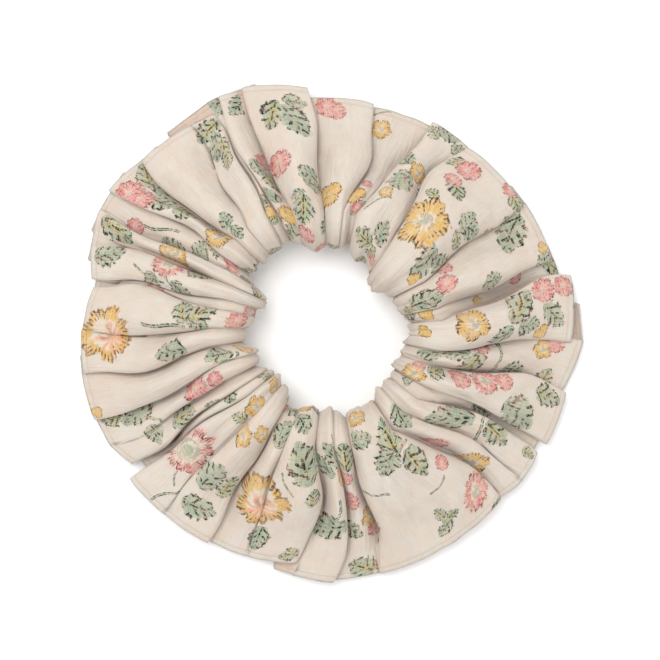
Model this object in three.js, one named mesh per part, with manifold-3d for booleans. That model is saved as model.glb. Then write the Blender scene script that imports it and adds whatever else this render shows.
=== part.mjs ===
// A fabric scrunchie: a gathered cloth tube on a flat elastic ring, lying flat.
// Millimetres, +Z up through the hair hole, origin at the middle of the underside.
import * as THREE from 'three';
import { mergeVertices } from 'three/addons/utils/BufferGeometryUtils.js';
import Module from 'manifold-3d';

const wasm = await Module();
wasm.setup();

// Driving dimensions of the cover, taken along a radius of the ring.
const HOLE_RADIUS = 19.5;
const HEM_TURN_RADIUS = 57.4; // where the cloth turns in to the seam
const HEM_START_RADIUS = HEM_TURN_RADIUS - 1.6;
const REST_RADIUS = 24; // the flat underside reaches from here to the hem
const CLOTH_THICKNESS = 0.9; // a lofted layer of voile with its small creases
const SEAM_LEVEL = 3.4; // height of the long seam above the table
const SEAM_SLIT = 0.4; // between the two seam allowances
const ALLOWANCE_WIDTH = 6.5;
const HEM_HALF_HEIGHT = 2.95; // from the seam to the middle of either layer
const GATHER_HEIGHT = 16.8; // top of the cloth tube where it is gathered, in a valley
const GATHER_RADIUS = 28;

// Pleats.
const PLEATS = 20;
const STATIONS_PER_PLEAT = 3;
const PLEAT_LIFT = 4.2; // how far a pleat's ridge stands over its valley
const PLEAT_FLARE = 2.2; // how far a pleat's outer edge stands out
const PLEAT_SKEW = 2 / 3; // a knife pleat rises slowly and drops steeply

// The closing seam, where the two ends of the tube meet.
const CLOSING_ANGLE = 0.5 * (2 * Math.PI / PLEATS);
const CLOSING_GAP = 0.6;
const CLOSING_TURNS = 9;
const CLOSING_END_RADIUS = 35; // where the stitches stop on the underside
const CLOSING_STITCH_REACH = 2.2; // from the gap to the needle holes
const UNDERSIDE_TUCK = 2.4; // the underside is drawn up where the ends are sewn
const FLAT_HALF_ANGLE = 0.165; // the pleats die out on both sides of the closing seam
const FADE_HALF_ANGLE = 0.32;

// The elastic.
const ELASTIC_WIDTH = 6.4;
const ELASTIC_THICKNESS = 1.1;
const ELASTIC_RADIUS = 24.6;
const ELASTIC_LEVEL = 9.5;
const ELASTIC_OVERLAP_ANGLE = 0.46; // about 12 mm of lapped ends
const ELASTIC_PITCH = 1.5; // how far the ribbon winds outwards in one turn
const ELASTIC_STEPS = 64;
const ELASTIC_START_ANGLE = 2.2;
const JOINT_STITCHES = 4;

// Sewing thread.
const THREAD_RADIUS = 0.25;
const NEEDLE_RADIUS = 1.6; // leaves the slanting thread about 0.3 mm all round
const NEEDLE_REACH = 3.6;
const THREAD_SIDES = 5;
const THREAD_SLACK = 0.8; // how far the closing stitches stand off the cloth
const LONG_SEAM_STITCHES = 24; // passes through the cloth
const LONG_SEAM_RADIUS = 53.6;
const STITCH_HEIGHT = 1.75; // from the seam's level to the run of the thread
const STITCH_STEEPNESS = 14;
const STEP_CROWDING = 0.85;
const STEPS_PER_STITCH = 8;
const STEPS_PER_TURN = 12; // of the closing seam's whip stitch

const material = (name, color, roughness) =>
  new THREE.MeshStandardMaterial({ name, color, roughness, metalness: 0 });
const CLOTH = material('cloth', '#e9dccf', 0.9);
const ELASTIC = material('elastic', '#f2f0ea', 0.8);
const THREAD = material('thread', '#e4d6c6', 0.7);

const TURN = 2 * Math.PI;

// 0 before `from`, 1 after `to`, and smooth between.
const ramp = (from, to, x) => THREE.MathUtils.smoothstep(x, from, to);

// 1 at the closing seam and 0 away from the stretch that it draws up.
function closeness(angle) {
  const off = THREE.MathUtils.euclideanModulo(angle - CLOSING_ANGLE + Math.PI, TURN) - Math.PI;
  return 1 - ramp(FLAT_HALF_ANGLE, FADE_HALF_ANGLE, Math.abs(off));
}

// A knife pleat's height at an angle: 0 in the valley, 1 at the ridge, and half way
// along the flat stretch at the closing seam.
function pleat(angle) {
  const phase = THREE.MathUtils.euclideanModulo(angle * PLEATS / TURN, 1);
  const knife = phase < PLEAT_SKEW
    ? Math.sin(phase / PLEAT_SKEW * Math.PI / 2)
    : Math.cos((phase - PLEAT_SKEW) / (1 - PLEAT_SKEW) * Math.PI / 2);
  return THREE.MathUtils.lerp(knife, 0.5, closeness(angle));
}

// How far the cloth at a radius moves outwards, which carries the seam with it.
const flare = (radius, angle) =>
  PLEAT_FLARE * ramp(GATHER_RADIUS, HEM_TURN_RADIUS, radius) * (pleat(angle) - 0.5);

const polar = (radius, angle, z) =>
  new THREE.Vector3(radius * Math.cos(angle), radius * Math.sin(angle), z);

// The middle line of the cloth in one section, as (radius, height): from one seam
// allowance round the outer hem, over the top, round the hole, along the underside
// and back to the other allowance.
function clothLine() {
  const allowance = SEAM_SLIT / 2 + CLOTH_THICKNESS / 2;
  const turnRise = (HEM_HALF_HEIGHT - allowance) / 2;
  const allowanceEnd = HEM_TURN_RADIUS - ALLOWANCE_WIDTH;
  const bottom = SEAM_LEVEL - HEM_HALF_HEIGHT;
  const hem = (side) => [45, 135].map((degrees) => {
    const t = degrees * Math.PI / 180;
    return new THREE.Vector2(
      HEM_TURN_RADIUS + 1.4 * Math.sin(t),
      SEAM_LEVEL + side * (allowance + turnRise * (1 - Math.cos(t))),
    );
  });
  const top = new THREE.SplineCurve([
    new THREE.Vector2(HEM_START_RADIUS, SEAM_LEVEL + HEM_HALF_HEIGHT),
    new THREE.Vector2(48, 8.4),
    new THREE.Vector2(38, 13),
    new THREE.Vector2(GATHER_RADIUS, GATHER_HEIGHT),
    new THREE.Vector2(21.6, 14.2),
    new THREE.Vector2(HOLE_RADIUS, 8.6),
    new THREE.Vector2(21, 3),
  ]).getPoints(9);
  return [
    new THREE.Vector2(allowanceEnd, SEAM_LEVEL + allowance),
    ...hem(1),
    ...top,
    new THREE.Vector2(REST_RADIUS, bottom),
    new THREE.Vector2(HEM_START_RADIUS, bottom),
    ...hem(-1).reverse(),
    new THREE.Vector2(allowanceEnd, SEAM_LEVEL - allowance),
  ];
}

// One face of the cloth: its middle line moved sideways by half its thickness.
function clothFace(line, side) {
  return line.map((point, i) => {
    const before = line[Math.max(i - 1, 0)];
    const after = line[Math.min(i + 1, line.length - 1)];
    const into = point.clone().sub(before).normalize();
    const out = after.clone().sub(point).normalize();
    const along = into.clone().add(out).normalize();
    const mitre = Math.max(along.dot(i === 0 ? out : into), 0.7);
    const offset = side * CLOTH_THICKNESS / 2 / mitre;
    return new THREE.Vector2(point.x - along.y * offset, point.y + along.x * offset);
  });
}

// A three.js geometry as a manifold solid.
function solid(geometry) {
  const bare = geometry.clone();
  bare.deleteAttribute('normal');
  bare.deleteAttribute('uv');
  const merged = mergeVertices(bare, 1e-4);
  return new wasm.Manifold(new wasm.Mesh({
    numProp: 3,
    vertProperties: new Float32Array(merged.attributes.position.array),
    triVerts: new Uint32Array(merged.index.array),
  }));
}

// A manifold solid as a three.js mesh.
function meshOf(name, shape, look) {
  const { vertProperties, triVerts } = shape.getMesh();
  const geometry = new THREE.BufferGeometry();
  geometry.setAttribute('position', new THREE.BufferAttribute(vertProperties, 3));
  geometry.setIndex(new THREE.BufferAttribute(triVerts, 1));
  geometry.computeVertexNormals();
  const mesh = new THREE.Mesh(geometry, look);
  mesh.name = name;
  return mesh;
}

// The cloth tube before it is cut: the section turned round Z, then pleated.
function pleatedTube() {
  const line = clothLine();
  const outline = [...clothFace(line, -1), ...clothFace(line, 1).reverse()];
  outline.push(outline[0].clone());
  const tube = new THREE.LatheGeometry(outline, PLEATS * STATIONS_PER_PLEAT);
  tube.rotateX(Math.PI / 2);
  const points = tube.attributes.position;
  const point = new THREE.Vector3();
  for (let i = 0; i < points.count; i += 1) {
    point.fromBufferAttribute(points, i);
    const angle = Math.atan2(point.y, point.x);
    const radius = Math.hypot(point.x, point.y);
    const moved = polar(radius + flare(radius, angle), angle, pleatedHeight(radius, angle, point.z));
    points.setXYZ(i, moved.x, moved.y, moved.z);
  }
  return tube;
}

// The height of a point of the cloth once the top is pleated and the underside is
// drawn up at the closing seam. The seam allowances inside keep their level.
function pleatedHeight(radius, angle, z) {
  const topShare = ramp(SEAM_LEVEL + STITCH_HEIGHT, SEAM_LEVEL + 2 * STITCH_HEIGHT, z)
    * ramp(HOLE_RADIUS - 1, GATHER_RADIUS, radius + 0.4 * z);
  const underShare = (1 - ramp(1, 4, z))
    * THREE.MathUtils.clamp((HEM_START_RADIUS - radius) / (HEM_START_RADIUS - REST_RADIUS), 0, 1);
  return z + PLEAT_LIFT * topShare * pleat(angle) + UNDERSIDE_TUCK * underShare * closeness(angle);
}

// A curve whose points come from a function, with its steps even in that function's
// own argument, so that they can crowd together where the thread turns.
class PathCurve extends THREE.Curve {
  constructor(place) {
    super();
    this.place = place;
  }

  getPoint(t, target = new THREE.Vector3()) {
    return target.copy(this.place(t));
  }

  getUtoTmapping(u) {
    return u;
  }
}

function thread(curve, steps) {
  const section = new THREE.Shape();
  for (let i = 0; i < THREAD_SIDES; i += 1) {
    const angle = i * TURN / THREAD_SIDES;
    const method = i === 0 ? 'moveTo' : 'lineTo';
    section[method](THREAD_RADIUS * Math.cos(angle), THREAD_RADIUS * Math.sin(angle));
  }
  return solid(new THREE.ExtrudeGeometry(section, { steps, extrudePath: curve }));
}

// A short prism that the needle's hole is cut with.
function needleHole(middle, direction) {
  const hole = new THREE.CylinderGeometry(NEEDLE_RADIUS, NEEDLE_RADIUS, NEEDLE_REACH, THREAD_SIDES);
  const upright = new THREE.Vector3(0, 1, 0);
  hole.applyQuaternion(new THREE.Quaternion().setFromUnitVectors(upright, direction));
  hole.translate(middle.x, middle.y, middle.z);
  return solid(hole);
}

const cutHoles = (shape, holes) => holes.reduce((rest, hole) => rest.subtract(hole), shape);
const countFromOne = (count) => Array.from({ length: count }, (unused, i) => i + 1);

// A running stitch's side of the cloth: +1 and -1 by turns, with steep passes.
const stitchSide = (stitches) => Math.tanh(STITCH_STEEPNESS * Math.sin(stitches * Math.PI));

// Counts stitches along a running stitch, with the steps crowded at its passes.
function stitchesAt(t, count) {
  const even = 0.5 + t * (count - 1);
  return even - STEP_CROWDING / TURN * Math.sin(even * TURN);
}

// The long seam runs round the hem from one end of the tube to the other.
function longSeamPlace(stitches) {
  const angle = CLOSING_ANGLE + stitches / LONG_SEAM_STITCHES * TURN;
  const radius = LONG_SEAM_RADIUS + flare(LONG_SEAM_RADIUS, angle);
  return polar(radius, angle, SEAM_LEVEL + STITCH_HEIGHT * stitchSide(stitches));
}
const longSeam = new PathCurve((t) => longSeamPlace(stitchesAt(t, LONG_SEAM_STITCHES)));
const longSeamHoles = countFromOne(LONG_SEAM_STITCHES - 1).map((stitches) =>
  needleHole(longSeamPlace(stitches), new THREE.Vector3(0, 0, 1)));

// The closing seam: a whip stitch over the meeting ends, wound along the section.
// It leaves out the hem, where the seam allowances are in the needle's way.
const sewnSection = [
  ...clothLine().slice(4, -4),
  new THREE.Vector2(CLOSING_END_RADIUS, SEAM_LEVEL - HEM_HALF_HEIGHT),
];
const closingLine = new THREE.CatmullRomCurve3(
  sewnSection.map((p) => new THREE.Vector3(p.x, pleatedHeight(p.x, CLOSING_ANGLE, p.y), 0)),
  false,
  'centripetal',
);
const sideways = new THREE.Vector3(-Math.sin(CLOSING_ANGLE), Math.cos(CLOSING_ANGLE), 0);
const CLOSING_START = 0.25; // the first turn starts a quarter in, outside the cloth

// The cloth's middle under the stitches, and the way out of it, after some turns.
function closingCloth(turns) {
  const share = 0.03 + 0.94 * (turns - CLOSING_START) / CLOSING_TURNS;
  const at = closingLine.getPointAt(share);
  const along = closingLine.getTangentAt(share);
  return { middle: polar(at.x, CLOSING_ANGLE, at.y), out: polar(-along.y, CLOSING_ANGLE, along.x) };
}

function closingPlace(turns) {
  const { middle, out } = closingCloth(turns);
  const lift = CLOTH_THICKNESS / 2 + THREAD_RADIUS + THREAD_SLACK;
  return middle
    .addScaledVector(out, lift * Math.sin(turns * TURN))
    .addScaledVector(sideways, CLOSING_STITCH_REACH * Math.cos(turns * TURN));
}
const closingSeam = new PathCurve((t) => closingPlace(CLOSING_START + t * CLOSING_TURNS));
const closingHoles = countFromOne(2 * CLOSING_TURNS).map((halfTurns) =>
  needleHole(closingPlace(halfTurns / 2), closingCloth(halfTurns / 2).out));

// The elastic winds slightly outwards, so that its second end laps over its first.
const elasticRadius = (angle) =>
  ELASTIC_RADIUS + ELASTIC_PITCH * (angle - ELASTIC_START_ANGLE) / TURN;

function elasticRibbon() {
  const curve = new PathCurve((t) => {
    const angle = ELASTIC_START_ANGLE + t * (TURN + ELASTIC_OVERLAP_ANGLE);
    return polar(elasticRadius(angle), angle, ELASTIC_LEVEL);
  });
  const w = ELASTIC_WIDTH / 2;
  const h = ELASTIC_THICKNESS / 2;
  const bevel = 0.3;
  const section = new THREE.Shape();
  section.moveTo(-w, -h + bevel);
  section.lineTo(-w + bevel, -h);
  section.lineTo(w - bevel, -h);
  section.lineTo(w, -h + bevel);
  section.lineTo(w, h - bevel);
  section.lineTo(w - bevel, h);
  section.lineTo(-w + bevel, h);
  section.lineTo(-w, h - bevel);
  return solid(new THREE.ExtrudeGeometry(section, { steps: ELASTIC_STEPS, extrudePath: curve }));
}

// Stitches through the lapped ends, climbing across the ribbon.
const LAP_ANGLE = ELASTIC_START_ANGLE + ELASTIC_OVERLAP_ANGLE / 2;

function jointPlace(stitches) {
  const climb = (stitches / JOINT_STITCHES - 0.5) * (ELASTIC_WIDTH - 1.6);
  const reach = ELASTIC_PITCH / 2 + ELASTIC_THICKNESS / 2 + THREAD_RADIUS + 0.4;
  const radius = elasticRadius(LAP_ANGLE) + ELASTIC_PITCH / 2 + reach * stitchSide(stitches);
  return polar(radius, LAP_ANGLE, ELASTIC_LEVEL + climb);
}
const elasticJoint = new PathCurve((t) => jointPlace(stitchesAt(t, JOINT_STITCHES)));
const jointHoles = countFromOne(JOINT_STITCHES - 1).map((stitches) =>
  needleHole(jointPlace(stitches), polar(1, LAP_ANGLE, 0)));

function fabricCover() {
  const gap = new THREE.BoxGeometry(80, CLOSING_GAP, 60);
  gap.translate(40, 0, 0);
  gap.rotateZ(CLOSING_ANGLE);
  const opened = solid(pleatedTube()).subtract(solid(gap));
  return cutHoles(opened, [...longSeamHoles, ...closingHoles]);
}

const group = new THREE.Group();
group.add(
  meshOf('fabric_cover', fabricCover(), CLOTH),
  meshOf('elastic_band', cutHoles(elasticRibbon(), jointHoles), ELASTIC),
  meshOf('long_seam_thread', thread(longSeam, STEPS_PER_STITCH * (LONG_SEAM_STITCHES - 1)), THREAD),
  meshOf('closing_seam_thread', thread(closingSeam, STEPS_PER_TURN * CLOSING_TURNS), THREAD),
  meshOf('elastic_joint_thread', thread(elasticJoint, STEPS_PER_STITCH * (JOINT_STITCHES - 1)), THREAD),
);

export default group;
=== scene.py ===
"""A printed cotton scrunchie lying flat, built round its CAD frame. Metres, +Z up.

The cover is one strip of voile. It is laid out row by row: a row runs all the way
round the ring, and the rows follow the tube's section from the seam at the rim, over
the top, down the side of the hole and back to the rim underneath. Along a row the
cloth goes over flaps and down into folds, whose places are listed in FOLDS.
"""
import math

import bpy
import numpy as np
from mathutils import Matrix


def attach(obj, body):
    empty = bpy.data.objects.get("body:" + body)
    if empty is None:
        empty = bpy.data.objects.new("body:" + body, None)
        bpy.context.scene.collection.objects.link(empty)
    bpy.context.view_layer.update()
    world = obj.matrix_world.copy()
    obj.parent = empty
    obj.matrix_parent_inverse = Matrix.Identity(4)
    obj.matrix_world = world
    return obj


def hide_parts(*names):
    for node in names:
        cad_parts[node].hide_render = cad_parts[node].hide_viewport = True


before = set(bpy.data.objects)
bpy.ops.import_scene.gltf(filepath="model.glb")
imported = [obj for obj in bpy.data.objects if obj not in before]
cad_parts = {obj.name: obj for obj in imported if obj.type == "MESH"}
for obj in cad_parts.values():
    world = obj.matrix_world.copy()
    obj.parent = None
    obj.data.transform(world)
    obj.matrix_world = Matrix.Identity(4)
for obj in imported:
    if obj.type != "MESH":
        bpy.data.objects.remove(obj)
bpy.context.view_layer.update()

MM = 0.001
FLAP_SEED, CLOTH_SEED, PRINT_SEED = 3, 7, 11

# ---------- the folds
# One row per fold, anticlockwise from +X: its angle in degrees at the rim, half way
# in and at the hole; which side lies on top (+1: the flap before it); how deep it is
# at the rim, in mm; the rim's radius just before it and just after it, in mm; how far
# it gapes half way in, in mm; and how much of it is left at the hole (1: all).
FOLDS = [
    (12.5, 11.5, 4, +1, 4, 59, 56.8, 1.2, 1),
    (17.5, 16.5, 12, -1, 3.5, 56.6, 55.4, 0.5, 0.5),
    (33, 33, 28, -1, 5.4, 56.2, 54.8, 0.3, 0.9),
    (52.5, 56, 54, +1, 4, 54.6, 55.2, 0.3, 1),
    (63.4, 66.5, 76.5, +1, 5, 55.4, 54.8, 1.2, 1),
    (79.5, 78.5, 84, -1, 2, 54.8, 55, 0.4, 0.2),
    (95.7, 95, 93, -1, 2, 56.2, 58.2, 0.2, 0.2),
    (109.5, 110, 107, +1, 1.5, 61.6, 61.6, 0.2, 0.2),
    (115.2, 115.8, 113.5, +1, 8, 61.8, 62.4, 0.3, 1),
    (118.6, 118, 119.5, -1, 11, 62.4, 58.6, 1.1, 0.5),
    (124, 124.5, 128.5, +1, 0, 59.4, 59.4, 0.2, 0.4),
    (137.6, 139, 135.5, +1, 4, 60.4, 61.2, 0.7, 0.6),
    (147.4, 144.5, 144.7, +1, 4.5, 62.4, 62.4, 0.4, 1),
    (152.6, 153.5, 150.5, -1, 4.5, 62.6, 62, 0.8, 1),
    (161, 158, 156.5, -1, 2.5, 61, 60.2, 0.9, 0.4),
    (167.4, 165.5, 163, +1, 4.5, 58.2, 57.6, 0.4, 0.6),
    (170.2, 168.5, 170, -1, 3.5, 57.6, 57.4, 0.3, 0.3),
    (180, 181, 178.5, +1, 0, 59.4, 59.6, 0.5, 0.4),
    (189.6, 190.5, 187, +1, 3.5, 59.8, 60.8, 0.7, 1),
    (200.4, 201, 196.5, +1, 3.5, 60.2, 60.4, 0.5, 0.4),
    (208, 208, 205, +1, 0, 59.6, 59.6, 0.2, 0.8),
    (213.6, 213.4, 212, +1, 4.5, 57.2, 55.6, 0.8, 0.5),
    (217, 217.4, 219.5, -1, 3.5, 55.2, 59.6, 0.3, 0.6),
    (228, 228, 229.5, -1, 0, 59.4, 59.4, 0.2, 0.8),
    (239.7, 239.6, 239, +1, 3.5, 58.6, 58.6, 0.4, 1),
    (250, 249.5, 249, -1, 0, 57.8, 57.8, 0.3, 0.3),
    (261.3, 265.5, 262, +1, 4.5, 56.2, 59.8, 0.9, 0.5),
    (270.5, 274.5, 271.5, +1, 2.5, 60.2, 60.2, 0.7, 0.4),
    (282, 283, 281, -1, 4.5, 59.6, 59.4, 1, 0.6),
    (315, 313.5, 301, +1, 4, 57.4, 57.6, 0.6, 1),
    (322, 321, 311, +1, 0, 58.6, 58.6, 0.3, 0.5),
    (329, 329.6, 321, +1, 4.5, 57.6, 57, 0.9, 0.5),
    (332.6, 333.4, 330, -1, 4, 57, 58.5, 0.5, 0.8),
    (344.7, 345, 340, +1, 2.5, 58.4, 57.8, 0.7, 0.4),
    (357.5, 357, 350, -1, 8.5, 61.2, 57.6, 0.4, 1),
]
# The hole's outline: angle in degrees and radius in mm.
HOLE_OUTLINE = [
    (2, 18.9), (10, 17.7), (20, 16.9), (33, 16.3), (44, 15.3), (55, 15.2), (60, 17.2), (66, 18.4),
    (75, 19.8), (98, 19.8), (110, 21.4), (114, 23.6), (120, 23.2), (129, 23.3), (132, 22.2),
    (143, 23.6), (147, 23.4), (152, 17.4), (158, 16.4), (174, 18.8), (187, 21.8), (192, 17.6),
    (205, 19.4), (219, 16.0), (230, 17.0), (238, 19.1), (242, 20.5), (257, 19.5), (266, 18.6),
    (275, 19.5), (286, 20.6), (300, 20.6), (305, 17.8), (312, 17.6), (320, 18.3), (328, 17.0),
    (335, 18.0), (347, 16.7), (356, 21.0),
]
TIGHT_GATHERS = [(218, 14), (332, 12), (158, 10), (15, 8)]  # angle and reach in degrees
FOLD_STEPS = (3, 1, 4, 3)  # steps in a fold's first turn, each leg, turn back and last turn
FOLD_WANDER = 0.8  # degrees that the folds stray from their own smooth lines
FOLD_SHARE = 0.25  # how much of the width lost towards the hole goes into each fold's depth
MOST_COVERED = 0.7  # the share of a flap that the fold beside it may cover
FLAP_STEP = 1.2  # mm between columns on a flap at the rim
FLAP_LIFT_RANGE = (-0.6, 2.2)  # mm that a flap's middle may sink or rise

# The tube's section: radius and height in mm from the rim over the top to the rim.
TOP_SECTION = [(58.0, 3.2), (51.0, 5.6), (43.0, 9.6), (35.0, 14.2), (28.5, 17.0)]
HOLE_SECTION = [(24.0, 16.4), (20.9, 12.4), (20.3, 8.0), (22.3, 3.6)]
UNDER_SECTION = [(27.5, 1.3), (38.0, 0.7), (50.0, 0.8), (58.0, 3.2)]
TOP_ROWS, HOLE_ROWS, UNDER_ROWS, ALLOWANCE_ROWS = 32, 14, 12, 3
SPLINE_STEPS, SECTION_STEPS = 40, 2000
SLOPE_REACH = 0.002  # the share of the section to either side that gives a row's slope
HEM_ROW = 0.3  # mm from the rim to the first row in, which keeps the edge crisp
LOWEST = 0.2  # mm from the floor to the lowest cloth
CLOTH_THICKNESS = 0.26
BAND_ROOM = (23.6, 26.9, 5.9, 13.1)  # mm: radii and heights that the elastic lies within
SOFT_WAVES, SMALL_WAVES, SLANT_CREASES, RIM_WAVES = 0.9, 0.12, 1.3, 0.9  # mm
GATHERS, TIGHTER_GATHERS = 0.45, 0.9  # mm, everywhere at the hole and where they are tight
POCKET_BLUR = 4  # rounds of smoothing that carry the folds' painted warm shade on to the flaps

# What changes with the depth in, which is 0 at the rim, 1 on top of the gathers and 2
# back at the rim underneath.
DEPTH_LIMIT = [(0, 9), (0.5, 7), (0.9, 4.2), (1.1, 2.4), (1.35, 1.6), (1.7, 1.4), (2, 0.8)]  # mm
UPRIGHT_TURN = [(0, 87), (0.2, 85), (0.6, 72), (1, 52), (1.4, 25), (2, 0)]  # degrees
SHOULDER_RADIUS = [(0, 0.5), (0.5, 1.1), (1, 1.2), (1.4, 1.0), (2, 1.0)]  # mm
CREASE_RADIUS = [(0, 0.35), (0.6, 0.35), (1, 0.25), (1.4, 0.2), (2, 0.2)]  # mm
CROWN_SHARE = [(0, 0.02), (0.4, 0.07), (0.85, 0.24), (1.15, 0.08), (1.7, 0.06), (2, 0.02)]
CROWN_LIMIT = [(0.85, 2.0), (1.15, 0.5)]  # mm
CROWN_ROUNDNESS = 0.45  # the power that makes a flap's crown round: lower is flatter

# ---------- the seams and the elastic, in mm
ALLOWANCE = 8.0  # cloth turned in at each side of the seam
TRIMMED_OFF = 0.75  # the share of it that is cut away at the bottom of each fold
ALLOWANCE_DROP = 0.2  # how far its edge is from the rim's level
SEAM_INSET = 1.6  # from the rim to the line of stitches
STITCH_LENGTH = 2.4
STITCH_RISE = 0.32
WHIP_REACH = 0.4
THREAD_RADIUS = 0.13
TUBE_SIDES = 6
ELASTIC_RADIUS = 25.2  # to the middle of the band
RIB_WIDTH = 0.8
YARN_PITCH = 0.9

# ---------- the print
# Flowers and leaves on the top: the angle in degrees and the radius in mm of the middle,
# the direction that the tip points in, in degrees, and the size in mm from the middle to
# the tip. The places were read off the photo by eye as pixels, and a helper script
# turned about half of them into angles and radii.
FLOWERS = {
    # name: petals, yellowness, inner radius as a share, streaks, then the places
    "open": (5, 1, 0.34, 0, [
        (49, 33.6, 90, 6.2), (139.6, 34.4, 40, 4), (2.4, 34, 10, 4.2), (317, 45.7, 60, 4.2),
        (226, 25.6, 20, 3), (229, 32, 50, 2.5), (237, 29.6, 80, 2.2), (76, 49.3, 20, 2.9),
        (152, 41, 60, 2.6), (155, 43, 20, 2.4), (330, 22.5, 20, 2.9), (354.5, 50.9, 0, 2.6),
        (283, 44.8, 30, 2.8), (192.7, 21, 30, 2.2), (225.4, 18.8, 0, 2.4), (286, 22, 0, 2.8),
        (68, 35.6, 60, 1.8),
    ]),
    "bud": (3, 1, 0.12, 0, [
        (90.5, 32.4, 95, 3.2), (81.5, 33, 85, 3), (115, 31.8, 40, 1.9), (9.7, 23.2, 0, 2.6),
        (359.6, 22.5, 20, 2), (359.1, 50.6, 0, 2.2), (21, 54.2, 60, 1.6), (10.5, 35.7, 60, 1.6),
        (200.4, 59, 0, 1.6), (31.5, 23.4, 200, 1.8),
    ]),
    "pink": (9, 0, 0.25, 0, [
        (106.7, 42, 0, 3), (111.5, 43.3, 0, 1.9), (91, 53.6, 0, 3), (88, 52.9, 0, 2.6),
        (48.6, 50.2, 40, 3.4), (51.2, 46.6, 40, 2.4), (38, 54.8, 0, 2.2), (21.8, 29.6, 20, 2.3),
        (27.8, 30.2, 20, 1.8), (75.9, 35.8, 0, 1.3), (77.6, 29.9, 0, 1.7), (105, 23.8, 0, 2.5),
        (96, 20, 0, 1.9), (145.5, 58.4, 0, 3.4), (147, 55.4, 0, 2.8), (152, 53, 0, 2),
        (167.2, 43.4, 0, 2.3), (174, 22.2, 0, 3), (10.8, 52.2, 0, 3.2), (11, 56.4, 0, 2.6),
        (357.2, 54.1, 0, 2.7), (340.5, 33.2, 0, 2.3), (344, 43.3, 0, 2.2), (339.5, 22, 0, 1.9),
        (311.5, 36, 0, 2.8), (312, 40.3, 0, 1.8), (274.8, 35.4, 0, 2.1), (275.6, 40.4, 0, 2.6),
        (284, 48.2, 0, 2.1), (203.9, 35.3, 0, 3.2), (204, 29.6, 0, 2), (59, 19.1, 0, 1.6),
        (15.8, 46, 0, 1.7), (225, 46.5, 0, 2.2),
    ]),
    "daisy": (13, 0, 0.36, 0, [(311.6, 51.7, 0, 4.4), (342.9, 38.6, 0, 3.2)]),
    "ring": (11, 0, 0.62, 0, [(220.3, 44.4, 0, 6)]),
    "carnation": (7, 1, 0.5, 1, [(181, 52, 150, 7.2), (249, 45.4, 70, 7.8)]),
}
LEAVES = [
    (118, 60.6, 205, 3.8), (112, 57.8, 240, 3), (105.4, 53.3, 260, 3.8), (99.2, 51.3, 305, 4.7),
    (98.6, 55.2, 0, 2.8), (121.6, 55.6, 232, 3.5), (121.5, 51.7, 280, 3), (119.4, 50.6, 300, 2.8),
    (120, 47.4, 275, 2.3), (115.1, 41.9, 300, 2.7), (112.4, 37.9, 300, 2.8), (97.5, 36.9, 55, 2.7),
    (95.3, 34.7, 25, 2.5), (101.9, 29.8, 265, 3), (102.9, 33.4, 190, 1.7), (118.8, 34.1, 265, 2.7),
    (113.8, 29.4, 290, 1.8), (125.4, 23.1, 20, 2.2), (140.4, 43.9, 330, 2.9), (133.8, 36, 120, 2.2),
    (133.7, 31.6, 320, 2), (140.1, 57.6, 110, 3.2), (139.2, 52.8, 330, 2.4), (142.9, 50.8, 330, 3.3),
    (153.8, 56.5, 315, 4.1), (160.3, 56.4, 355, 3.6), (173, 35.4, 110, 2.9), (171.4, 31, 50, 4),
    (178.4, 31.6, 330, 2.6), (156, 18.6, 260, 2.2), (188.6, 38.5, 190, 3.6), (192.8, 26.9, 190, 2.9),
    (216, 18.4, 180, 2.2), (202, 50.1, 220, 4.4), (201.7, 56.4, 200, 2.6), (212, 40.4, 30, 3.4),
    (210.3, 48.5, 285, 3.2), (224.3, 30.4, 160, 1.9), (231.1, 44.8, 45, 4.2), (233.5, 52.4, 335, 4.2),
    (237.3, 45, 60, 3.2), (246.3, 27.2, 70, 3.4), (259.5, 32.7, 100, 5.2), (265.9, 40.7, 90, 2.2),
    (250, 52.6, 250, 3.4), (260.2, 54.6, 200, 2.4), (269.8, 47, 210, 4), (276.7, 48.2, 330, 2.6),
    (276.3, 30.6, 90, 3.2), (285, 26.4, 20, 3), (309.4, 25.8, 290, 3.2), (300.5, 29, 110, 4.2),
    (293.2, 33.8, 240, 3.9), (302.7, 37.3, 300, 3.7), (303, 52.6, 60, 2.4), (300.6, 54.4, 240, 2.4),
    (301, 51.4, 140, 2), (324.5, 35.8, 165, 4.8), (332.4, 41, 330, 2.9), (329.4, 47.2, 320, 3.9),
    (336.3, 49.8, 315, 5.2), (343.3, 54.4, 345, 3.5), (347.3, 52, 70, 2.8), (346.5, 44.4, 330, 2.8),
    (339.9, 27.2, 10, 2.4), (347.7, 24, 180, 3), (357.3, 40.9, 200, 3), (328.6, 56.2, 330, 1.8),
    (1, 47.6, 350, 3), (3.6, 53.4, 320, 3.8), (6.6, 45.6, 40, 4.4), (16.6, 23.6, 20, 4),
    (12.7, 19.4, 200, 2), (17, 40.3, 5, 2.6), (28.3, 48.4, 245, 5.4), (34, 53.6, 300, 2.6),
    (38.8, 41.4, 40, 3), (34.6, 41.6, 345, 3), (35.2, 37.4, 300, 2.2), (33.6, 26.4, 225, 3.6),
    (47.6, 45, 280, 3.4), (52.6, 40.2, 130, 1.8), (54.8, 53, 130, 2.4), (53.1, 50.6, 210, 2.4),
    (58.6, 55, 330, 3.2), (63.4, 53.6, 120, 2.2), (69.5, 24, 150, 2.6), (61.4, 25.8, 70, 2.8),
    (62.8, 20.9, 60, 2.2), (66, 18.4, 240, 2), (74.8, 29.6, 230, 2.4),
]
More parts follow.
